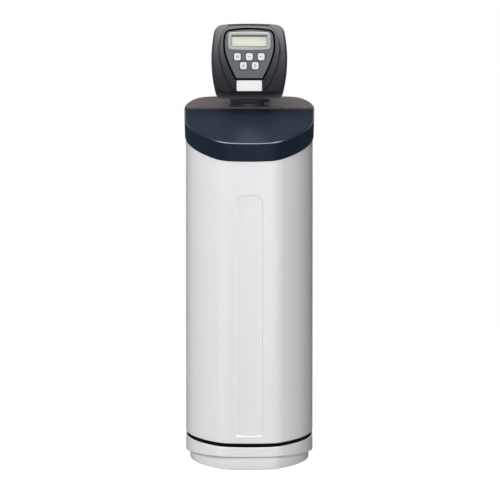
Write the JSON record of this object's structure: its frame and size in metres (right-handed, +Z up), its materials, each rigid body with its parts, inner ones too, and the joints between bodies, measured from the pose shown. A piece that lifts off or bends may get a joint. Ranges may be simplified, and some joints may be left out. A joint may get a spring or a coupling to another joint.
{
  "type": "water softener",
  "caption": "Cabinet water softener: white shell on a plinth, sloping black salt lid, electronic piston-valve head, mineral tank, brine well and rear bypass.",
  "frame": {"origin": "centre of the cabinet's footprint, on the floor", "axes": "+Z up, the front faces -Y, +X to the right seen from the front"},
  "size_m": [0.3368, 0.5629, 1.1293],
  "materials": {
    "white_body": "satin white polyethylene",
    "black_rubber": "matt black rubber",
    "navy_gloss": "glossy navy black",
    "black_matte": "matt black",
    "steel": "plain steel",
    "tank_wrap": "glass-wound resin",
    "gravel": "quartz gravel",
    "resin": "amber resin beads",
    "white_pipe": "matt white",
    "grey_plastic": "matt grey",
    "float_foam": "closed-cell foam",
    "cover_black": "satin black with a fine grain",
    "slate_panel": "fine-grained slate grey",
    "silver_bezel": "silver paint",
    "clear_window": "clear acrylic",
    "display_grey": "pale green-grey glass",
    "label_white": "bare white plate",
    "board_green": "solder resist",
    "white_gear": "natural acetal",
    "brass_pinion": "machined",
    "motor_steel": "plated",
    "piston_plastic": "coated",
    "valve_black": "glass-filled black",
    "red_clip": "red",
    "lever_red": "red",
    "brass": "turned brass",
    "line_white": "milky tube",
    "button_white": "white keycap"
  },
  "bodies": {
    "cabinet": {"base_gasket": "black_rubber", "base_plinth": "white_body", "board_screws": "steel", "brine_line": "line_white", "brine_valve": "grey_plastic", "brine_well": "white_pipe", "bypass_body": "valve_black", "cabinet_shell": "white_body", "circuit_board": "board_green", "display_module": "display_grey", "drain_elbow": "valve_black", "drive_bracket": "black_matte", "drive_cap": "black_matte", "drive_motor": "motor_steel", "elbow_clips": "red_clip", "gravel_bed": "gravel", "injector_cap": "valve_black", "lid_hinge_pins": "steel", "lower_basket": "grey_plastic", "meter_cap": "valve_black", "mineral_tank": "tank_wrap", "neck_ring": "black_rubber", "overflow_elbow": "white_pipe", "overflow_nut": "white_pipe", "pipe_fittings": "brass", "power_inlet": "black_matte", "rear_cover": "cover_black", "rear_deck": "black_matte", "refill_elbow": "white_pipe", "resin_bed": "resin", "riser_tube": "white_pipe", "salt_grid": "white_pipe", "seal_stack": "grey_plastic", "tank_boot": "black_matte", "union_nuts": "valve_black", "upper_basket": "grey_plastic", "valve_body": "valve_black"},
    "salt_lid": {"salt_lid": "navy_gloss"},
    "head_cover": {"front_cover": "cover_black", "control_panel": "slate_panel", "display_bezel": "silver_bezel", "display_window": "clear_window", "label_plate": "label_white"},
    "main_gear": {"main_gear": "white_gear"},
    "second_gear": {"second_gear": "white_gear"},
    "first_gear": {"first_gear": "white_gear"},
    "motor_pinion": {"motor_pinion": "brass_pinion"},
    "piston": {"main_piston": "piston_plastic", "piston_rod": "steel"},
    "meter_turbine": {"meter_turbine": "white_gear"},
    "inlet_lever": {"inlet_lever": "lever_red"},
    "outlet_lever": {"outlet_lever": "lever_red"},
    "brine_float": {"brine_float": "float_foam", "float_rod": "white_pipe"},
    "well_cap": {"brine_well_cap": "white_pipe"},
    "button_1": {"button_1": "button_white"},
    "button_2": {"button_2": "button_white"},
    "button_3": {"button_3": "button_white"},
    "button_4": {"button_4": "button_white"},
    "button_5": {"button_5": "button_white"}
  },
  "joints": [
    {"name": "lid_hinge", "type": "hinge", "parent": "cabinet", "child": "salt_lid", "pos_m": [0, 0.0522, 0.89499], "axis": [-1, 0, 0], "range_deg": [0, 34]},
    {"name": "cover_pull", "type": "slide", "parent": "cabinet", "child": "head_cover", "axis": [0, 1, 0], "range_m": [-0.15, 0]},
    {"name": "main_gear_turn", "type": "hinge", "parent": "cabinet", "child": "main_gear", "pos_m": [0, 0.026, 0.99], "axis": [0, -1, 0], "range_deg": [0, 1440]},
    {"name": "second_gear_turn", "type": "hinge", "parent": "cabinet", "child": "second_gear", "pos_m": [-0.02445, 0.023, 1.03235], "axis": [0, -1, 0], "range_deg": [-4800, 0]},
    {"name": "first_gear_turn", "type": "hinge", "parent": "cabinet", "child": "first_gear", "pos_m": [-0.00135, 0.016, 1.05173], "axis": [0, -1, 0], "range_deg": [0, 14400]},
    {"name": "motor_turn", "type": "hinge", "parent": "cabinet", "child": "motor_pinion", "pos_m": [0.02243, 0.011, 1.04754], "axis": [0, -1, 0], "range_deg": [-43200, 0]},
    {"name": "piston_slide", "type": "slide", "parent": "cabinet", "child": "piston", "axis": [0, -1, 0], "range_m": [0, 0.028]},
    {"name": "turbine_spin", "type": "hinge", "parent": "cabinet", "child": "meter_turbine", "pos_m": [0.0413, 0.119, 0.99], "axis": [0, 1, 0], "continuous": true},
    {"name": "inlet_lever_turn", "type": "hinge", "parent": "cabinet", "child": "inlet_lever", "pos_m": [-0.0413, 0.217, 1.026], "axis": [0, 0, 1], "range_deg": [0, 90]},
    {"name": "outlet_lever_turn", "type": "hinge", "parent": "cabinet", "child": "outlet_lever", "pos_m": [0.0413, 0.217, 1.026], "axis": [0, 0, 1], "range_deg": [0, 90]},
    {"name": "float_rise", "type": "slide", "parent": "cabinet", "child": "brine_float", "axis": [0, 0, 1], "range_m": [0, 0.026]},
    {"name": "well_cap_lift", "type": "slide", "parent": "cabinet", "child": "well_cap", "axis": [0, 0, 1], "range_m": [0, 0.04]},
    {"name": "button_1_press", "type": "slide", "parent": "head_cover", "child": "button_1", "axis": [0, 1, 0], "range_m": [0, 0.0012], "stiffness_N_per_m": 400},
    {"name": "button_2_press", "type": "slide", "parent": "head_cover", "child": "button_2", "axis": [0, 1, 0], "range_m": [0, 0.0012], "stiffness_N_per_m": 400},
    {"name": "button_3_press", "type": "slide", "parent": "head_cover", "child": "button_3", "axis": [0, 1, 0], "range_m": [0, 0.0012], "stiffness_N_per_m": 400},
    {"name": "button_4_press", "type": "slide", "parent": "head_cover", "child": "button_4", "axis": [0, 1, 0], "range_m": [0, 0.0012], "stiffness_N_per_m": 400},
    {"name": "button_5_press", "type": "slide", "parent": "head_cover", "child": "button_5", "axis": [0, 1, 0], "range_m": [0, 0.0012], "stiffness_N_per_m": 400}
  ],
  "couplings": [
    {"joint": "second_gear_turn", "follows": "main_gear_turn", "ratio": -3.3333},
    {"joint": "first_gear_turn", "follows": "main_gear_turn", "ratio": 10},
    {"joint": "motor_turn", "follows": "main_gear_turn", "ratio": -30},
    {"joint": "piston_slide", "follows": "main_gear_turn", "m_per_rad": 0.0011141}
  ]
}
